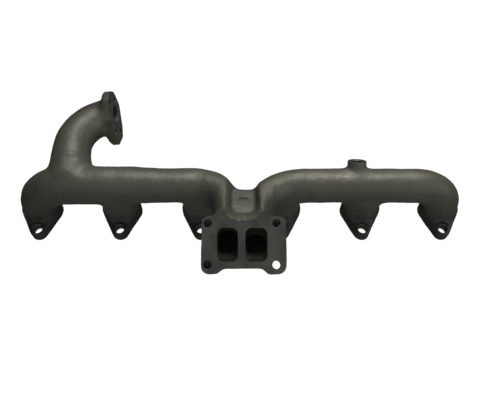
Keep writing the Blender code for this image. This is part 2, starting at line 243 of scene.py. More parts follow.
def rounded(points, steps=8):
    """A closed outline through points (x, y, radius), each corner rounded by its radius."""
    outline = []
    for index, (x, y, radius) in enumerate(points):
        here = Vector((x, y))
        before = (Vector(points[index - 1][:2]) - here).normalized()
        after = (Vector(points[(index + 1) % len(points)][:2]) - here).normalized()
        half = before.angle(after) / 2
        middle = here + (before + after).normalized() * radius / math.sin(half)
        first = here + before * radius / math.tan(half) - middle
        last = here + after * radius / math.tan(half) - middle
        base = math.atan2(first.y, first.x)
        outline += arc(middle, radius, base, base - first.angle_signed(last), steps)
    return outline


def plate(name, outlines, low, high, place, kind=SKIN):
    """A flat drawing given thickness from low to high along the drawing's Z."""
    curve = bpy.data.curves.new(name, "CURVE")
    curve.dimensions = "2D"
    curve.fill_mode = "BOTH"
    curve.extrude = (high - low) / 2
    for outline in outlines:
        spline = curve.splines.new("POLY")
        spline.points.add(len(outline) - 1)
        for slot, point in zip(spline.points, outline):
            slot.co = (point[0], point[1], 0.0, 1.0)
        spline.use_cyclic_u = True
    return solid_of(name, curve, place @ Matrix.Translation((0, 0, (low + high) / 2)), kind)


# %% Joining and cutting
def cut(body, tool, operation="DIFFERENCE"):
    """One Boolean, applied at once."""
    step = body.modifiers.new("cut", "BOOLEAN")
    step.operation = operation
    step.solver = "MANIFOLD"
    step.object = tool
    mesh = evaluated_mesh(body)
    body.modifiers.clear()
    body.data = mesh
    return body


def joined(name, things):
    """Several meshes in one object, still as separate shells."""
    work = bmesh.new()
    for thing in things:
        work.from_mesh(thing.data)
    kind = things[0].data.polygons[0].material_index
    discard(*things)
    mesh = bpy.data.meshes.new(name)
    work.to_mesh(mesh)
    work.free()
    return new_object(name, mesh, kind)


GRAIN = 0.0014


def skinned(thing, voxel, kind):
    """Melts overlapping shells into one even skin of small quads."""
    step = thing.modifiers.new("skin", "REMESH")
    step.mode = "VOXEL"
    step.voxel_size = voxel
    mesh = evaluated_mesh(thing)
    name = thing.name
    discard(thing)
    return new_object(name, mesh, kind)


def positions(mesh):
    """All vertex places of a mesh, one row each."""
    places = np.empty(len(mesh.vertices) * 3, dtype=np.float32)
    mesh.vertices.foreach_get("co", places)
    return places.reshape(-1, 3)


# %% [markdown]
# ## The pattern: flanges, runners and log
#
# The six port flanges are diamonds round two bolt holes and a port. Short runners lead into the
# log, which turns down into the outer ports at both ends. Flanges get a few millimetres of extra
# metal past their faces, called stock, which the milling takes off later.

# %% Port flanges and runners
STOCK = 0.005
TIP_RADIUS, SHOULDER_RADIUS = 0.0123, 0.0182
bolt_height = tip - TIP_RADIUS
shoulder = waist - SHOULDER_RADIUS
diamond = [(0, -bolt_height), (shoulder, 0), (0, bolt_height), (-shoulder, 0)]
flange_outline = belt([(x, z, SHOULDER_RADIUS if x else TIP_RADIUS) for x, z in diamond])
pattern = []
for number, x in enumerate(port_places, start=1):
    place = Matrix.Translation((x, 0, 0)) @ head_place
    pattern.append(plate(f"flange_{number}", [flange_outline], flange_front, STOCK, place))
    if 1 < number < 6:
        path = [(x, 0, log_z / 3), (x, flange_front - 0.004, log_z / 3), (x, log_y * 0.8, log_z)]
        radii = [runner_radius + 0.001, runner_radius, runner_radius + 0.004]
        pattern.append(bar(f"runner_{number}", path, radii))
print("pattern pieces so far:", len(pattern))

# %% The log and its end bends
BEND_RADIUS = 0.046
BEND_STEPS = 16
TAPER_START, TAPER_END = 0.165, 0.120


def end_path(side, first_y, tail):
    """From an outer port round the bend into the log."""
    port = port_places[0] if side < 0 else port_places[-1]
    middle_y = log_y + BEND_RADIUS
    path = [(port, first_y, log_z / 3)]
    for step in range(BEND_STEPS + 1):
        turn = math.pi / 2 * step / BEND_STEPS
        across = port - side * BEND_RADIUS * (1 - math.cos(turn))
        rise = log_z * (1 + 2 * step / BEND_STEPS) / 3
        path.append((across, middle_y - BEND_RADIUS * math.sin(turn), rise))
    path.append((port - side * (BEND_RADIUS + tail), log_y, log_z))
    return path


def end_radii(start, finish):
    """A radius for each point of an end bend, which has grown to its full size before the log."""
    return [start + (finish - start) * min(1, step / 12) for step in range(BEND_STEPS + 3)]


def log_bar(name, side, inset, outer_lap, inner_lap, kind=SKIN):
    """Half of the log, fatter at its left end, thinner all round by the inset, lapped at both ends."""
    thick = fat_radius if side < 0 else log_radius
    reach = [bend_start + outer_lap, TAPER_START, TAPER_END, log_stops[side] - inner_lap]
    path = [(side * x, log_y, log_z) for x in reach]
    radii = [radius - inset for radius in (thick, thick, log_radius, log_radius)]
    return bar(name, path, radii, kind=kind)


for side in (-1, 1):
    thick = fat_radius if side < 0 else log_radius
    pattern.append(bar("end_bend", end_path(side, 0.0, 0.01), end_radii(runner_radius, thick)))
    pattern.append(log_bar("log", side, 0.0, 0.010, 0.005))
print("pattern pieces so far:", len(pattern))

# %% [markdown]
# ## The two necks
#
# Each half of the log turns a quarter circle and runs down to the turbo flange, changing from round
# to a rounded slot on the way. That change of section is lofted by hand, ring by ring, because no
# ready-made tool sweeps between unlike shapes.

# %% Necks
NECK_X, NECK_WIDE, NECK_TALL = 0.0186, 0.0192, 0.0280
NECK_SQUARE, NECK_TAPER = 1.2, 0.22
NECK_BENDS = {-1: 0.0520, 1: 0.0770}
NECK_LEAD, NECK_OVERRUN, NECK_STEPS, BEND_SHARE = 0.02, 0.02, 7, 0.55
turbo_back = turbo_middle - turbo_out * turbo_thickness
neck_top = Vector((0, log_y, log_z))
neck_run = turbo_back + turbo_up * 0.009 - neck_top
neck_down = neck_run.normalized()
neck_front = neck_down.cross(Vector((1, 0, 0))).normalized()
if neck_front.y > 0:
    neck_front = -neck_front


def slot_ring(middle, heading, share, growth, recess=0.0, count=56):
    """A neck section: round where share is 0, a rounded slot where it is 1, set back by the recess."""
    sideways = neck_front.cross(heading)
    wide = log_radius + (NECK_WIDE - log_radius) * share + growth
    tall = log_radius + (NECK_TALL - log_radius) * share + growth - recess
    power = 2 / (2.0 + NECK_SQUARE * share)
    points = []
    for step in range(count):
        c, s = math.cos(math.tau * step / count), math.sin(math.tau * step / count)
        across = math.copysign(abs(c) ** power, c) * wide * (1 - NECK_TAPER * share * max(0.0, s))
        along = math.copysign(abs(s) ** power, s) * tall - recess
        points.append(middle + sideways * across + neck_front * along)
    return points


def loft(name, rings, kind=SKIN):
    """A closed body through rings with the same number of points."""
    count = len(rings[0])
    faces = [tuple(range(count)), tuple(range((len(rings) - 1) * count, len(rings) * count))]
    for level in range(len(rings) - 1):
        for side in range(count):
            base, step = level * count, (side + 1) % count
            faces.append((base + side, base + step, base + count + step, base + count + side))
    mesh = bpy.data.meshes.new(name)
    mesh.from_pydata([point for points in rings for point in points], [], faces)
    work = bmesh.new()
    work.from_mesh(mesh)
    bmesh.ops.recalc_face_normals(work, faces=work.faces)
    work.to_mesh(mesh)
    work.free()
    return new_object(name, mesh, kind)


def neck(name, side, growth=0.0, recess=0.0, kind=SKIN):
    """A quarter turn out of the log and then straight down past the turbo flange."""
    inward, radius = Vector((-side, 0, 0)), NECK_BENDS[side]
    start = neck_top - inward * (NECK_X + radius)
    rings = [slot_ring(start - inward * NECK_LEAD, inward, 0.0, growth)]
    for step in range(BEND_STEPS + 1):
        turn = math.pi / 2 * step / BEND_STEPS
        middle = start + inward * radius * math.sin(turn) + neck_down * radius * (1 - math.cos(turn))
        heading = inward * math.cos(turn) + neck_down * math.sin(turn)
        share = step / BEND_STEPS
        rings.append(slot_ring(middle, heading, BEND_SHARE * share, growth, recess * share))
    for step in range(1, NECK_STEPS + 1):
        run = radius + (neck_run.length + NECK_OVERRUN - radius) * step / NECK_STEPS
        middle = start + inward * radius + neck_down * run
        set_back = recess * min(1.0, 2.0 - 2 * step / NECK_STEPS)
        share = min(1.0, BEND_SHARE + 0.08 * step)
        rings.append(slot_ring(middle, neck_down, share, growth, set_back))
    return loft(name, rings, kind)


wide_sheet = [(-0.2, -0.2), (0.2, -0.2), (0.2, 0.2), (-0.2, 0.2)]
for side in (-1, 1):
    body = neck("neck", side)
    trim = plate("trim", [wide_sheet], 0.004 - turbo_thickness, 0.2, turbo_place)
    pattern.append(cut(body, trim))
    discard(trim)
print("each neck drops", round(neck_run.length, 3), "m to the turbo flange")

# %% [markdown]
# ## The turbo flange and the web behind it
#
# The turbo flange is a plate with four lugs. A web ties the two necks together behind it, and its
# side profile is drawn once in the middle plane and given a width.


# %% The turbo flange plate and web
def on_turbo(v, n):
    """A point in the middle plane: v up the flange from its centre, n out from its face."""
    return turbo_middle + turbo_up * v + turbo_out * n


def slab(name, profile, half_width, kind=SKIN):
    """A body with a side profile in the YZ plane and a width along X."""
    rings = [[Vector((x, p.y, p.z)) for p in profile] for x in (-half_width, half_width)]
    return loft(name, rings, kind)


lower_edge = [(-0.0532, -0.0392, 0.0100), (-0.0325, -0.0392, 0.0040), (-0.0245, -0.0322, 0.0050)]
lower_edge += [(0.0265, -0.0322, 0.0050), (0.0345, -0.0396, 0.0040), (0.0582, -0.0396, 0.0110)]
upper_edge = [(0.0582, 0.0372, 0.0100), (0.0400, 0.0372, 0.0030), (0.0335, 0.0430, 0.0030)]
upper_edge += [(-0.0300, 0.0472, 0.0030), (-0.0380, 0.0372, 0.0030), (-0.0532, 0.0372, 0.0100)]
turbo_outline = rounded(lower_edge + upper_edge)
pattern.append(plate("turbo_plate", [turbo_outline], -turbo_thickness, STOCK, turbo_place))
web_profile = [
    on_turbo(-0.024, 0.002),
    on_turbo(0.046, 0.002),
    Vector((0, log_y - 0.034, log_z - 0.030)),
    Vector((0, log_y - 0.018, log_z - 0.012)),
    Vector((0, log_y + 0.008, log_z - 0.012)),
    Vector((0, log_y + 0.012, log_z - 0.080)),
    on_turbo(-0.024, -0.014),
]
WEB_HALF_WIDTH = 0.022
pattern.append(slab("web", web_profile, WEB_HALF_WIDTH))
print("turbo flange outline has", len(turbo_outline), "points")

# %% [markdown]
# ## The recirculation elbow and the sensor boss
#
# On the real manifold a pipe rises from the fat end of the log and turns over to a small four-bolt
# flange, which sends some exhaust gas to a cooler. Its path is one smooth curve between the riser's
# top and the flange, with a given direction at each end. The foot of the riser flares a little,
# because the mould has a generous fillet there. The sensor boss is a short stub that leans forward.

# %% Riser, elbow and small flange
ELBOW_PUSH, ELBOW_PULL = 0.088, 0.054
egr_back = egr_middle - egr_out * egr_thickness
elbow_foot = Vector((riser_x, log_y, riser_top + 0.004))


def elbow_path(tail, steps=20):
    """A smooth quarter turn from the riser to the small flange."""
    push, pull = Vector((0, 0, ELBOW_PUSH)), egr_out * ELBOW_PULL
    path = [elbow_foot - Vector((0, 0, 0.01))]
    for step in range(steps + 1):
        s = step / steps
        point = elbow_foot * (2 * s**3 - 3 * s**2 + 1) + push * (s**3 - 2 * s**2 + s)
        path.append(point + egr_back * (3 * s**2 - 2 * s**3) + pull * (s**3 - s**2))
    path.append(egr_back + egr_out * tail)
    return path


flare = {0.000: 0.0050, 0.026: 0.0050, 0.034: 0.0030, 0.043: 0.0012, riser_top - log_z: 0.0003}
riser_path = [(riser_x + extra * 0.7, log_y, log_z + rise) for rise, extra in flare.items()]
pattern.append(bar("riser", riser_path, [riser_radius + extra for extra in flare.values()]))
elbow = elbow_path(0.005)
elbow_radii = [riser_radius - 0.001 * min(1, step / 20) for step in range(len(elbow))]
pattern.append(bar("elbow", elbow, elbow_radii))
egr_bolts = [(-0.0260, 0.0060), (0.0090, -0.0220), (0.0280, -0.0090), (-0.0110, 0.0235)]
near_edge = [(-0.0371, 0.0050, 0.0060), (-0.0201, -0.0211, 0.0060), (0.0150, -0.0391, 0.0060)]
far_edge = [(0.0281, -0.0361, 0.0060), (0.0401, -0.0120, 0.0070), (0.0331, 0.0041, 0.0100)]
top_edge = [(0.0081, 0.0301, 0.0080), (-0.0190, 0.0336, 0.0060), (-0.0351, 0.0231, 0.0060)]
egr_outline = rounded(near_edge + far_edge + top_edge)
pattern.append(plate("small_plate", [egr_outline], -egr_thickness, STOCK, egr_place))
print("small flange outline has", len(egr_outline), "points and", len(egr_bolts), "bolts")

# %% Sensor boss
boss_foot = boss_top - boss_out * 0.030
BOSS_RADIUS = 0.0141
pattern.append(bar("boss", [boss_foot, boss_top + boss_out * STOCK], [BOSS_RADIUS, BOSS_RADIUS]))
print("pattern pieces in all:", len(pattern))

# %% [markdown]
# ## Melting the pattern into one skin
#
# A voxel remesh turns all the overlapping shapes into one skin, and smoothing then rounds every
# inside corner into a fillet, as a pattern maker does with wax. Plates get much less smoothing than
# the places where tubes meet, so that their rims stay square with just a small cast radius.

# %% Skin
casting = skinned(joined("casting", pattern), GRAIN, SKIN)

# %% [markdown]
# ## The saddle between the necks
#
# Between the two necks the real casting is scooped out: a wall set back from the neck fronts, and
# below it a sloping floor that runs forward and notches the top of the turbo flange in a U. One
# loft between a small U at the back and a wide one at the front cuts both at once.


# %% Saddle
SADDLE_TOP = 0.06
WALL_FLOOR, WALL_DEPTH, WALL_LEAN = -0.0510, -0.0930, 0.26


def saddle_ring(left, right, floor, corner, depth, lean):
    """A U outline in X and Z, at a depth that may lean back with height."""
    foot = [(left, floor, corner), (right, floor, corner)]
    outline = rounded(foot + [(right, SADDLE_TOP, 0.004), (left, SADDLE_TOP, 0.004)])
    return [Vector((x, depth + (z - floor) * lean, z)) for x, z in outline]


scoop_rings = [
    saddle_ring(-0.0150, 0.0200, WALL_FLOOR, 0.0130, WALL_DEPTH, WALL_LEAN),
    saddle_ring(-0.0225, 0.0255, -0.0770, 0.0150, -0.1268, 0.0),
    saddle_ring(-0.0270, 0.0300, -0.0960, 0.0160, -0.1500, 0.0),
]
scoop = loft("scoop", scoop_rings)
cut(casting, scoop)
discard(scoop)
casting = skinned(casting, GRAIN, SKIN)
print("skin faces:", len(casting.data.polygons))


# %% [markdown]
# ## Fillets and uneven sand
#
# Smoothing a skin of even quads moves each point towards its neighbours, so inside corners fill up
# and outside corners round off. The distance says how far that reaches, and a weight keeps plates
# nearly sharp. A second pass rounds the foot of the riser, which has the largest fillet. Slow noise
# then makes the skin as uneven as rammed sand, and much rougher in the notch below the saddle,
# where the mould broke away. Last comes the small pocket that is pressed into the saddle's wall.


# %% Fillets and the unevenness of sand
def near_plate(places, middle, out, low, high, reach):
    """True where a point lies between two depths of a plate and near its middle."""
    offset = places - np.array(middle)
    depth = offset @ np.array(out)
    return (depth > low) & (depth < high) & (np.linalg.norm(offset, axis=1) < reach)


def soften(thing, distance, weight):
    """Smooths by about that distance, scaled down by a weight for each vertex."""
    group = thing.vertex_groups.new(name="soft")
    weight = np.round(weight, 2)
    for value in np.unique(weight):
        group.add(np.flatnonzero(weight == value).tolist(), float(value), "REPLACE")
    step = thing.modifiers.new("wax", "SMOOTH")
    step.factor = 0.5
    step.iterations = max(1, round(2 * (distance / GRAIN) ** 2))
    step.vertex_group = "soft"
    mesh = evaluated_mesh(thing)
    name = thing.name
    discard(thing)
    return new_object(name, mesh)


firm_places = [
    (turbo_middle, turbo_out, -0.012, 0.02, 0.085, 0.12),
    (egr_middle, egr_out, -0.010, 0.02, 0.055, 0.10),
    (boss_top, boss_out, -0.009, 0.02, 0.030, 0.15),
    (Vector((0.002, -0.085, -0.035)), Vector((0, 0, 1)), -0.03, 0.03, 0.030, 0.16),
]


def plate_weight(places):
    """Full smoothing on tubes, little on plates, on the boss and in the saddle."""
    weight = np.ones(len(places))
    weight[places[:, 1] > flange_front + 0.002] = 0.10
    for middle, out, low, high, reach, share in firm_places:
        weight[near_plate(places, middle, out, low, high, reach)] = share
    return weight


def closeness(thing, middle, reach, fade):
    """1 near a point, falling to 0 at the reach."""
    away = np.linalg.norm(positions(thing.data) - np.array(middle), axis=1)
    return np.clip((reach - away) / fade, 0.0, 1.0)


casting = soften(casting, 0.0052, plate_weight(positions(casting.data)))
riser_foot = (riser_x, log_y, log_z + log_radius)
casting = soften(casting, 0.0105, closeness(casting, riser_foot, 0.058, 0.020))


# %% Roughness and the pocket
def roughen(mesh, size, height, share=1.0):
    """Pushes the skin in and out by slow noise, mostly inwards, as rammed sand does."""
    places = positions(mesh)
    normals = np.empty_like(places)
    mesh.vertices.foreach_get("normal", normals.ravel())
    lift = (np.array([noise.noise(Vector(p) / size) for p in places]) - 0.25) * height * share
    mesh.vertices.foreach_set("co", (places + normals * lift[:, None]).astype(np.float32).ravel())
    mesh.update()


roughen(casting.data, 0.021, 0.00060)
roughen(casting.data, 0.0065, 0.00022)
notch_middle = turbo_middle + turbo_up * 0.038 - turbo_out * 0.008
roughen(casting.data, 0.0048, 0.0026, closeness(casting, notch_middle, 0.030, 0.010))

SADDLE_X, POCKET_Z = 0.0025, -0.0236
pocket_depth = WALL_DEPTH + (POCKET_Z - WALL_FLOOR) * WALL_LEAN
pocket_out, pocket_up = Vector((0, -0.80, 0.60)), Vector((0, 0.60, 0.80))
pocket_middle = Vector((SADDLE_X, pocket_depth, POCKET_Z))
pocket_place = stand(pocket_middle, Vector((1, 0, 0)), pocket_up, pocket_out)
pocket_outline = [(-0.0060, -0.0060), (0.0060, -0.0060), (0.0066, 0.0020), (-0.0066, 0.0020)]
pocket = plate("pocket", [pocket_outline], -0.0006, 0.010, pocket_place)
cut(casting, pocket)
discard(pocket)
print("skin after the pocket:", len(casting.data.polygons), "faces")

# %% [markdown]
# ## Sand cores
#
# Sand cores keep the molten iron out of the gas passages. They are the pattern's own bars and lofts
# again, thinner by the wall, melted together and taken away from the casting. The runner cores end
# one wall lower than the log's middle, because the right neck is already turning down there.

# %% Cores
RUNNER_BORE = 0.0175
WALL = 0.006
CORE_RECESS = 0.0110
cores = []
for x in port_places[1:-1]:
    path = [(x, 0.02, log_z / 3), (x, flange_front, log_z / 3), (x, log_y, log_z - WALL)]
    cores.append(bar("runner_core", path, [RUNNER_BORE] * 3, kind=CORE))
for side in (-1, 1):
    thick = fat_radius if side < 0 else log_radius
    widen = end_radii(RUNNER_BORE, thick - WALL)
    cores.append(bar("bend_core", end_path(side, 0.02, 0.01), widen, kind=CORE))
    cores.append(log_bar("log_core", side, WALL, 0.005, 0.004, CORE))
    cores.append(neck("neck_core", side, -WALL, CORE_RECESS, CORE))
riser_core = [(riser_x, log_y, log_z), (riser_x, log_y, riser_top + 0.004)]
cores.append(bar("riser_core", riser_core, [riser_radius - WALL] * 2, kind=CORE))
elbow = elbow_path(-0.002)
elbow_radii = [riser_radius - WALL - 0.007 * max(0, step - 12) / 10 for step in range(len(elbow))]
cores.append(bar("elbow_core", elbow, elbow_radii, kind=CORE))
core = joined("core", cores)
front_cutter = plate("core_trim", [wide_sheet], -0.014, 0.1, turbo_place, CORE)
core = skinned(core, GRAIN * 1.4, CORE)
cut(core, front_cutter)
discard(front_cutter)
cut(casting, core)
discard(core)
print("after the cores:", len(casting.data.polygons), "faces")

# %% [markdown]
# ## Machining
#
# Milling cutters are large flat plates here, and drills are turned profiles with a small cone at
# each mouth, which leaves the chamfer that a deburring tool leaves.

# %% Milled faces
square = [(-0.5, -0.5), (0.5, -0.5), (0.5, 0.5), (-0.5, 0.5)]
small_square = [(x * 0.2, y * 0.2) for x, y in square]
tiny_square = [(x * 0.11, y * 0.11) for x, y in square]


def mill(place, outline, kind=MILLED):
    """Takes off everything in front of a face."""
    tool = plate("mill", [outline], 0.0, 0.03, place, kind)
    cut(casting, tool)
    discard(tool)


mill(head_place, square)
mill(turbo_place, small_square)
# Painted light: the small flange and the boss are milled with the brighter drilled colour, standing in
# for the light on these faces.
mill(egr_place, tiny_square, DRILLED)
boss_place = stand(boss_top, Vector((1, 0, 0)), boss_out.cross(Vector((1, 0, 0))), boss_out)
mill(boss_place, small_square, DRILLED)
print("milled the head side, the turbo flange, the small flange and the boss")


# %% Drills
def turned(name, profile, place, kind, steps=48):
    """A profile of (radius, height) pairs turned round the drawing's Z."""
    rings = []
    for radius, height in profile:
        rings.append([place @ Vector((x, y, height)) for x, y in ring((0, 0), radius, steps)])
    return loft(name, rings, kind)


def drill(place, radius, low, high, chamfer=0.0006, far_chamfer=True):
    """A straight hole between two depths with chamfered mouths."""
    wide = radius + chamfer
    profile = [(wide + 0.001, high + 0.001), (wide, high), (radius, high - chamfer)]
    if far_chamfer:
        profile += [(radius, low + chamfer), (wide, low), (wide + 0.001, low - 0.001)]
    else:
        profile += [(radius, low), (radius * 0.2, low - radius * 0.5)]
    tool = turned("drill", profile, place, DRILLED)
    cut(casting, tool)
    discard(tool)


def spot_face(place, radius, depth, length):
    """A flat seat for a bolt head, cut into any fillet in the way."""
    tool = turned("spot", [(radius, depth), (radius, depth - length)], place, MILLED)
    cut(casting, tool)
    discard(tool)


HEAD_BOLT_RADIUS, SEAT_RADIUS = 0.0070, 0.0103
TURBO_STUD_RADIUS, SMALL_BOLT_RADIUS = 0.0055, 0.0045
SMALL_BORE_RADIUS, SENSOR_HOLE_RADIUS = 0.0125, 0.0085
for x in port_places:
    for side in (-1, 1):
        place = Matrix.Translation((x, 0, side * bolt_height)) @ head_place
        spot_face(place, SEAT_RADIUS, flange_front + 0.0006, 0.013)
        drill(place, HEAD_BOLT_RADIUS, flange_front + 0.0006, 0.0)
for x in (-0.045, 0.045):
    for z in (-0.027, 0.027):
        blind = x < 0 and z < 0
        depth = 0.0115 if blind else turbo_thickness + 0.0005
        place = turbo_place @ Matrix.Translation((x, z, 0))
        drill(place, TURBO_STUD_RADIUS, -depth, 0.0, 0.0005, not blind)
for x, y in egr_bolts:
    place = egr_place @ Matrix.Translation((x, y, 0))
    drill(place, SMALL_BOLT_RADIUS, -egr_thickness - 0.0005, 0.0, 0.0005)
drill(egr_place @ Matrix.Translation((0, 0.005, 0)), SMALL_BORE_RADIUS, -0.020, 0.0, 0.0008, False)
drill(boss_place, SENSOR_HOLE_RADIUS, -0.026, 0.0, 0.0012, False)
print("drilled", 2 * len(port_places) + 4 + len(egr_bolts), "bolt holes, a bore and the sensor hole")

# %% Turbo ports
PORT_FOOT, PORT_TOP, PORT_CORNER = -0.023, 0.021, 0.0085
for left, right in ((-0.0325, -0.0052), (0.0043, 0.0332)):
    mouth = [(left, PORT_FOOT), (right, PORT_FOOT), (right, PORT_TOP), (left, PORT_TOP)]
    outline = rounded([(x, y, PORT_CORNER) for x, y in mouth])
    tool = plate("port", [outline], -turbo_thickness - 0.001, 0.01, turbo_place, CORE)
    cut(casting, tool)
    discard(tool)
print("after machining:", len(casting.data.polygons), "faces")

# %% [markdown]
# ## Parting the casting into its named regions
#
# The CAD frame names every region of the casting, so the finished skin is cut along the same joints
# and each piece stands for its own node. The cuts are hidden: neighbours share their border, and
# further on they also share their shading normals, so that no seam shows.


# %% Cutting along the joints
def box_plate(place, low, high, outline):
    """A region's outer bounds, as a plate whose cuts are joints."""
    return plate("region", [outline], low, high, place, JOINT)


pieces = {}


def part_off(name, region):
    """Takes the region's share of the casting as a piece of its own."""
    piece = bpy.data.objects.new(name, casting.data.copy())
    bpy.context.scene.collection.objects.link(piece)
    cut(piece, region, "INTERSECT")
    cut(casting, region)
    discard(region)
    pieces[name] = piece


def oblong(middle_x, half_x, half_z):
    """A rectangle on the head side, whose drawing X runs to the left."""
    ends = ((-1, -1), (1, -1), (1, 1), (-1, 1))
    return [(side * half_x - middle_x, end * half_z) for side, end in ends]


def beyond(side, start):
    """Everything further out than a distance along the row, on one side."""
    across = [(0, -0.3), (side * 0.3, -0.3), (side * 0.3, 0.3), (0, 0.3)]
    return box_plate(Matrix.Translation((side * start, 0, 0)), -0.3, 0.3, across)


def sheet(width, length):
    """A rectangle round the middle."""
    return [(x * width, y * length) for x, y in square]


for number, x in enumerate(port_places, start=1):
    part_off(f"port_flange_{number}", box_plate(head_place, flange_front, 0.01, oblong(x, 0.05, 0.07)))
part_off("turbo_flange", box_plate(turbo_place, -turbo_thickness, 0.01, small_square))
part_off("egr_flange", box_plate(egr_place, -egr_thickness, 0.01, tiny_square))
boss_base = boss_place @ Matrix.Translation((0, 0, -0.0155))
part_off("sensor_boss", turned("region", [(0.022, 0.0), (0.022, 0.03)], boss_base, JOINT))
upright = Matrix.Translation((riser_x, log_y, 0))
part_off("egr_elbow", box_plate(upright, riser_top, 0.3, sheet(0.4, 0.4)))
part_off("egr_riser", box_plate(upright, log_z + fat_radius * 0.95, 0.3, sheet(0.11, 0.2)))
for number in range(2, 6):
    x = port_places[number - 1]
    region = box_plate(head_place, log_y + log_radius + 0.004, 0.01, oblong(x, 0.033, 0.045))
    part_off(f"runner_{number}", region)
for number, side in ((1, -1), (6, 1)):
    part_off(f"runner_{number}", beyond(side, bend_start))
for label, side in (("left", -1), ("right", 1)):
    part_off(f"log_{label}", beyond(side, log_stops[side]))
part_off("neck_right", beyond(1, 0.0))
pieces["neck_left"] = casting
casting.name = "neck_left"
for name, piece in pieces.items():
    print(name, len(piece.data.polygons))


# %% [markdown]
# ## One shading for all pieces
#
# Each piece alone would be shaded without its neighbours, and every joint would show as a line. So
# the normals are worked out here for all pieces at once: a corner takes the mean of the faces that
# meet at its place, weighted by their area, unless they turn more sharply than a cast edge does.


# %% Shared shading normals
def share_normals(things, spread=35):
    """Gives every corner the mean normal of the faces near it, across all pieces at once."""
    spots, faces, areas, sizes = [], [], [], []
    for thing in things:
        mesh = thing.data
        corner_vertex = np.empty(len(mesh.loops), dtype=np.int32)
        mesh.loops.foreach_get("vertex_index", corner_vertex)
        totals = np.empty(len(mesh.polygons), dtype=np.int32)
        mesh.polygons.foreach_get("loop_total", totals)
        normal = np.empty(len(mesh.polygons) * 3, dtype=np.float32)
        mesh.polygons.foreach_get("normal", normal)
        area = np.empty(len(mesh.polygons), dtype=np.float32)
        mesh.polygons.foreach_get("area", area)
        kind = np.empty(len(mesh.polygons), dtype=np.int32)
        mesh.polygons.foreach_get("material_index", kind)
        area[kind == JOINT] = 0.0
        spots.append(positions(mesh)[corner_vertex])
        faces.append(np.repeat(normal.reshape(-1, 3), totals, axis=0))
        areas.append(np.repeat(area, totals))
        sizes.append(len(mesh.loops))
    spot = np.concatenate(spots)
    face = np.concatenate(faces)
    area = np.concatenate(areas)
    keys = np.round(spot.astype(np.float64) * 2e5).astype(np.int64) + (1 << 20)
    key = (keys[:, 0] << 42) | (keys[:, 1] << 21) | keys[:, 2]
    order = np.argsort(key, kind="stable")
    key, face_sorted, area_sorted = key[order], face[order], area[order]
    total = face_sorted * area_sorted[:, None]
    limit = math.cos(math.radians(spread))
    for shift in range(1, 14):
        same = key[shift:] == key[:-shift]
        close = np.einsum("ij,ij->i", face_sorted[shift:], face_sorted[:-shift]) > limit
        use = (same & close)[:, None]
        ahead = face_sorted[shift:] * area_sorted[shift:, None] * use
        behind = face_sorted[:-shift] * area_sorted[:-shift, None] * use
        total[:-shift] += ahead
        total[shift:] += behind
    length = np.linalg.norm(total, axis=1, keepdims=True)
    total = np.where(length > 1e-12, total / np.maximum(length, 1e-12), face_sorted)
    shared = np.empty_like(total)
    shared[order] = total
    start = 0
    for thing, size in zip(things, sizes):
        thing.data.shade_smooth()
        thing.data.normals_split_custom_set(shared[start : start + size].tolist())
        start += size


share_normals(list(pieces.values()))
print("normals shared by", len(pieces), "pieces")

# %% [markdown]
# ## Words for shader maths
#
# A material is easier to read as arithmetic than as a list of nodes. The small class below wraps an
# output socket, so that adding or multiplying two of them adds the Math node that does it.


# %% The wire class
class Wire:
    """An output socket that can be used in ordinary arithmetic."""

    def __init__(self, tree, socket):
        self.tree = tree
        self.socket = socket

    def maths(self, operation, first, second):
        node = self.tree.nodes.new("ShaderNodeMath")
        node.operation = operation
        for entry, value in zip(node.inputs, (first, second)):
            plug(self.tree, entry, value)
        return Wire(self.tree, node.outputs[0])

    def __add__(self, other):
        return self.maths("ADD", self, other)

    def __sub__(self, other):
        return self.maths("SUBTRACT", self, other)

    def __rsub__(self, other):
        return self.maths("SUBTRACT", other, self)

    def __mul__(self, other):
        return self.maths("MULTIPLY", self, other)

    def __pow__(self, other):
        return self.maths("POWER", self, other)

    def above(self, other):
        """The larger of the two."""
        return self.maths("MAXIMUM", self, other)

    __radd__ = __add__
    __rmul__ = __mul__


def plug(tree, entry, value):
    """Links a wire to an input socket, or sets a plain value on it."""
    if isinstance(value, Wire):
        tree.links.new(value.socket, entry)
    else:
        entry.default_value = value


class Recipe:
    """A material's node tree with one Principled shader."""

    def __init__(self, material):
        material.use_nodes = True
        self.tree = material.node_tree
        self.shader = self.tree.nodes["Principled BSDF"]

    def node(self, kind, settings, sockets, output=0):
        """Adds a node: its settings first, then its sockets by name or number."""
        node = self.tree.nodes.new("ShaderNode" + kind)
        for name, value in settings.items():
            setattr(node, name, value)
        for name, value in sockets.items():
            plug(self.tree, node.inputs[name], value)
        return Wire(self.tree, node.outputs[output])

    def mix(self, factor, first, second):
        """A mix of two colours."""
        return self.node("Mix", {"data_type": "RGBA"}, {0: factor, 6: first, 7: second}, 2)

    def place(self):
        """Where a point is on the object."""
        return self.node("TexCoord", {}, {}, 3)

    def along(self, axis):
        """How far a point lies along X, Y or Z, given as 0, 1 or 2."""
        return self.node("SeparateXYZ", {}, {"Vector": self.place()}, axis)

    def noise(self, scale, detail=3.0, rough=0.55):
        """Cloudy noise that is finer as the scale grows."""
        sockets = {"Vector": self.place(), "Scale": scale, "Detail": detail, "Roughness": rough}
        return self.node("TexNoise", {}, sockets)

    def band(self, value, low, high):
        """0 below low, 1 above high, and a smooth step between."""
        span = {"interpolation_type": "SMOOTHSTEP"}
        return self.node("MapRange", span, {"Value": value, "From Min": low, "From Max": high})

    def finish(self, colour, rough, metal, height, distance):
        """Feeds the shader, with the height in metres through a Bump node."""
        plug(self.tree, self.shader.inputs["Base Color"], colour)
        plug(self.tree, self.shader.inputs["Roughness"], rough)
        plug(self.tree, self.shader.inputs["Metallic"], metal)
        bump = self.node("Bump", {}, {"Height": height, "Distance": distance, "Strength": 1.0})
        plug(self.tree, self.shader.inputs["Normal"], bump)


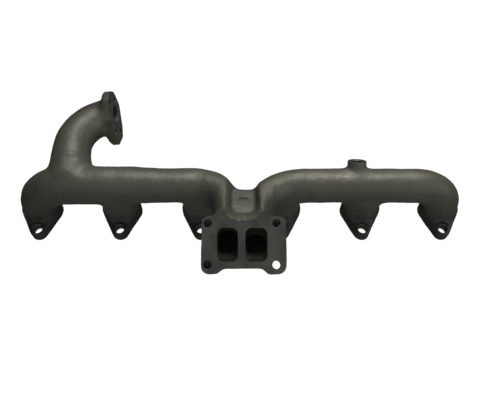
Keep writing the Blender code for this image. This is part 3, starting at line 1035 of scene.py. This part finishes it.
def grey(value, warm=1.0):
    """A linear colour of that value, more khaki as warm grows."""
    return (value * (1 + 0.04 * warm), value * (1 + 0.01 * warm), value * (1 - 0.25 * warm), 1.0)


print("shader words ready")

# %% [markdown]
# ## The sand-cast skin
#
# Iron poured in green sand comes out with a fine, even grain. After years in a store it is a khaki
# grey, with darker stains, small sand pits, and lighter places where it was handled. The grain here
# is a bump of a third of a millimetre at most, which scatters the soft light.
#
# The mould's two halves meet along the middle of the pipes. The skin below that line is painted
# darker, as painted shade for the undersides of log and neck, so the shader needs each point's
# distance from the bent middle line of log and neck. Painted shade also darkens the iron near the
# head, where the log shades the port flanges, in the saddle's recess, at the left end and high up
# round the small flange.

# %% Sand-cast skin
skin = Recipe(surfaces[SKIN])
stain = skin.band(skin.noise(11.0), 0.38, 0.66)
mottle = skin.noise(60.0, 4.0, 0.6)
grain = skin.noise(620.0, 3.0, 0.65)
scuff = skin.band(skin.noise(38.0, 6.0, 0.7), 0.60, 0.70) * skin.band(skin.noise(9.0, 2.0), 0.50, 0.62)
spots = skin.node("TexVoronoi", {}, {"Vector": skin.place(), "Scale": 95.0, "Randomness": 1.0})
pits = (1 - skin.band(spots, 0.06, 0.13)) * skin.band(skin.noise(24.0), 0.52, 0.60)
khaki = skin.mix(stain, grey(0.122), grey(0.158))
khaki = skin.mix(mottle * 0.55, khaki, grey(0.085, 0.6))
khaki = skin.mix(scuff * 0.75, khaki, grey(0.235, 0.9))
khaki = skin.mix(pits * 0.8, khaki, grey(0.030, 0.8))
x, y, z = (skin.along(axis) for axis in range(3))
# Painted shade: below the bent parting line of log and neck the skin is mixed towards a dark grey,
# standing in for the shade on their undersides.
wobble = (skin.noise(26.0, 5.0, 0.7) - 0.5) * 0.010
above_line = wobble
for side in (-1, 1):
    bend = NECK_BENDS[side]
    inner = (NECK_X + bend - x * side).above(0.0)
    upper = (z - (log_z - bend)).above(0.0)
    own_half = skin.band(x * side, -0.0005, 0.0005)
    above_line = above_line + ((inner**2 + upper**2) ** 0.5 - bend) * own_half
neck_part = 1 - skin.band(z, -0.030, -0.008)
underside_shade = 1 - skin.band(above_line + neck_part * 0.0085, -0.0030, 0.0010)
khaki = skin.mix(underside_shade * (0.40 + neck_part * 0.32), khaki, grey(0.060, 0.35))
# Painted shade: the saddle's recess between the necks is mixed towards a dark grey.
aside = (x - SADDLE_X).above(SADDLE_X - x)
saddle_shade = 1 - skin.band(aside, 0.0155, 0.0185)
saddle_shade = saddle_shade * skin.band(y, -0.101, -0.096) * skin.band(z, -0.056, -0.030)
khaki = skin.mix(saddle_shade * 0.62, khaki, grey(0.045, 0.6))
# Painted shade: the left end is darker, standing in for the shade on the side away from the lamps.
khaki = skin.mix(0.55 - skin.band(x, -0.33, -0.17) * 0.55, khaki, grey(0.050, 0.8))
# Painted shade: the skin is darker high up, on the top of the elbow by the small flange.
khaki = skin.mix(skin.band(z, 0.105, 0.135) * 0.45, khaki, grey(0.040, 0.8))
# Painted shade: skin near the head is nearly black, standing in for the log's shadow on the port
# flanges.
khaki = skin.mix(skin.band(y, -0.034, -0.014) * 0.62, khaki, grey(0.016, 0.4))
height = grain * 0.8 + mottle * 1.4 + scuff * 0.25 - pits * 1.6
skin.finish(khaki, 0.46 + mottle * 0.16 - scuff * 0.08, 0.45 + scuff * 0.2, height, 0.00034)
print("skin nodes:", len(skin.tree.nodes))

# %% [markdown]
# ## Cored passages
#
# The inside was formed by sand cores, and hot gas has left it almost black and dull.

# %% Cored passages
soot = Recipe(surfaces[CORE])
smoke = soot.noise(70.0, 5.0, 0.65)
black = soot.mix(soot.band(smoke, 0.35, 0.70), grey(0.008, 0.4), grey(0.028, 0.6))
soot.finish(black, 0.80 + smoke * 0.12, 0.0, smoke + soot.noise(420.0) * 0.6, 0.0005)
print("soot nodes:", len(soot.tree.nodes))

# %% [markdown]
# ## Milled faces
#
# A face mill leaves long, shallow arcs. They come from a wave of rings whose centre lies far to one
# side, so that only a short part of each big ring crosses a flange.

# %% Milled faces
milled = Recipe(surfaces[MILLED])
moved = milled.node("Mapping", {}, {"Vector": milled.place(), "Location": (0.31, 0.05, 0.22)})
sweep = {"Vector": moved, "Scale": 150.0, "Distortion": 0.6, "Detail": 2.0, "Detail Scale": 3.0}
rings = milled.node("TexWave", {"wave_type": "RINGS", "rings_direction": "SPHERICAL"}, sweep)
head_shade = milled.band(milled.along(1), -0.034, -0.014)
patch = milled.band(milled.noise(34.0, 4.0), 0.35, 0.70)
fine = milled.noise(900.0, 2.0)
steel = milled.mix(patch, grey(0.052, 0.45), grey(0.082, 0.55))
steel = milled.mix(rings * 0.22, steel, grey(0.115, 0.4))
# Painted shade: milled faces near the head, the spot faces under the log, are darkened as the log's
# shadow.
steel = milled.mix(head_shade * 0.60, steel, grey(0.020, 0.4))
milled.finish(steel, 0.40 + patch * 0.16 - rings * 0.05, 0.55, rings * 0.5 + fine * 0.5, 0.00008)
print("milled nodes:", len(milled.tree.nodes))

# %% [markdown]
# ## Drilled holes and joints
#
# A drilled wall is brighter iron with fine tool marks. The faces of the small flange and the boss
# wear the same brighter colour as painted light, standing in for the light they catch. The joint
# faces between pieces are never seen, but they get the same kind of grey, so that the pieces look
# right when taken apart.

# %% Drilled walls and joints
for kind, shade in ((DRILLED, 0.100), (JOINT, 0.060)):
    bright = Recipe(surfaces[kind])
    turns = bright.noise(800.0, 2.0)
    tone = bright.mix(bright.noise(45.0), grey(shade * 0.6, 0.5), grey(shade * 1.5, 0.4))
    bright.finish(tone, 0.42 + turns * 0.15, 0.55, turns, 0.00006)
print("drilled and joint faces are ready")

# %% [markdown]
# ## Handing the pieces to the frame
#
# Every piece rides on the one rigid body and stands for the CAD node of the same name.

# %% Ride and replace
for name, piece in pieces.items():
    piece.name = f"cast_{name}"
    piece.data.name = piece.name
    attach(piece, "root")
    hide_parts(name)
print(len(pieces), "pieces stand for", len(frame["nodes"]), "nodes")

# %% [markdown]
# ## Floor, light and camera
#
# The manifold hangs as it does on an engine, well above a pale floor. One large soft lamp, above and
# in front, lights the tops of the pipes and leaves their undersides dark, which is what gives a
# black casting its shape. A weak one from the right lifts the small flange, and an even, weak sky
# fills the shadows.

# %% Floor
floor_mesh = bpy.data.meshes.new("floor")
floor_size, floor_drop = 6.0, 0.75
low_z = cad_low[2] - floor_drop
floor_mesh.from_pydata([(x * floor_size, y * floor_size, low_z) for x, y in square], [], [(0, 1, 2, 3)])
floor = bpy.data.objects.new("floor", floor_mesh)
bpy.context.scene.collection.objects.link(floor)
paper = bpy.data.materials.new("pale_floor")
floor_mesh.materials.append(paper)
pale = Recipe(paper)
tint = pale.mix(pale.noise(3.0), (0.80, 0.80, 0.79, 1), (0.84, 0.84, 0.83, 1))
pale.finish(tint, 0.7, 0.0, pale.noise(200.0), 0.0002)
print("floor", floor_drop, "m below the manifold")


# %% Lamps and sky
def lamp(name, place, aim, size, power):
    """A round soft lamp turned towards a point."""
    light = bpy.data.lights.new(name, "AREA")
    light.shape = "DISK"
    light.size = size
    light.energy = power
    holder = bpy.data.objects.new(name, light)
    holder.location = place
    holder.rotation_euler = (Vector(aim) - Vector(place)).to_track_quat("-Z", "Y").to_euler()
    bpy.context.scene.collection.objects.link(holder)


lamp("overhead", (0.25, -2.3, 1.52), (0, -0.05, 0), 1.0, 54.0)
lamp("side", (2.2, -1.2, -0.2), (0, -0.05, 0), 1.2, 9.0)
sky = bpy.data.worlds.new("studio")
bpy.context.scene.world = sky
sky.use_nodes = True
nodes, links = sky.node_tree.nodes, sky.node_tree.links
seen = nodes.new("ShaderNodeLightPath").outputs["Is Camera Ray"]
strength = nodes.new("ShaderNodeMapRange")
strength.inputs["To Min"].default_value = 0.075
strength.inputs["To Max"].default_value = 1.05
links.new(seen, strength.inputs["Value"])
links.new(strength.outputs[0], nodes["Background"].inputs["Strength"])
nodes["Background"].inputs["Color"].default_value = (1.0, 1.0, 1.0, 1.0)
bpy.context.scene.view_settings.view_transform = "Standard"
print("two lamps and a weak sky")

# %% [markdown]
# ## Camera
#
# The camera is low in front and looks up by less than 30 degrees, a little to the right.

# %% Camera
CAMERA_PLACE = (-0.00503, -0.83527, -0.42807)
FOCAL = 43.58
PITCH, YAW, ROLL = math.radians(28.2), math.radians(1.27), math.radians(-0.56)
forward = Vector((math.sin(YAW) * math.cos(PITCH), math.cos(YAW) * math.cos(PITCH), math.sin(PITCH)))
right = Vector((math.cos(YAW), -math.sin(YAW), 0))
up = right.cross(forward)
right, up = right * math.cos(ROLL) + up * math.sin(ROLL), up * math.cos(ROLL) - right * math.sin(ROLL)
lens = bpy.data.cameras.new("camera")
lens.lens = FOCAL
camera = bpy.data.objects.new("camera", lens)
bpy.context.scene.collection.objects.link(camera)
turn = Matrix((right, up, -forward)).transposed().to_4x4()
camera.matrix_world = Matrix.Translation(CAMERA_PLACE) @ turn
bpy.context.scene.camera = camera
print("camera looks up by", round(math.degrees(PITCH), 1), "degrees")
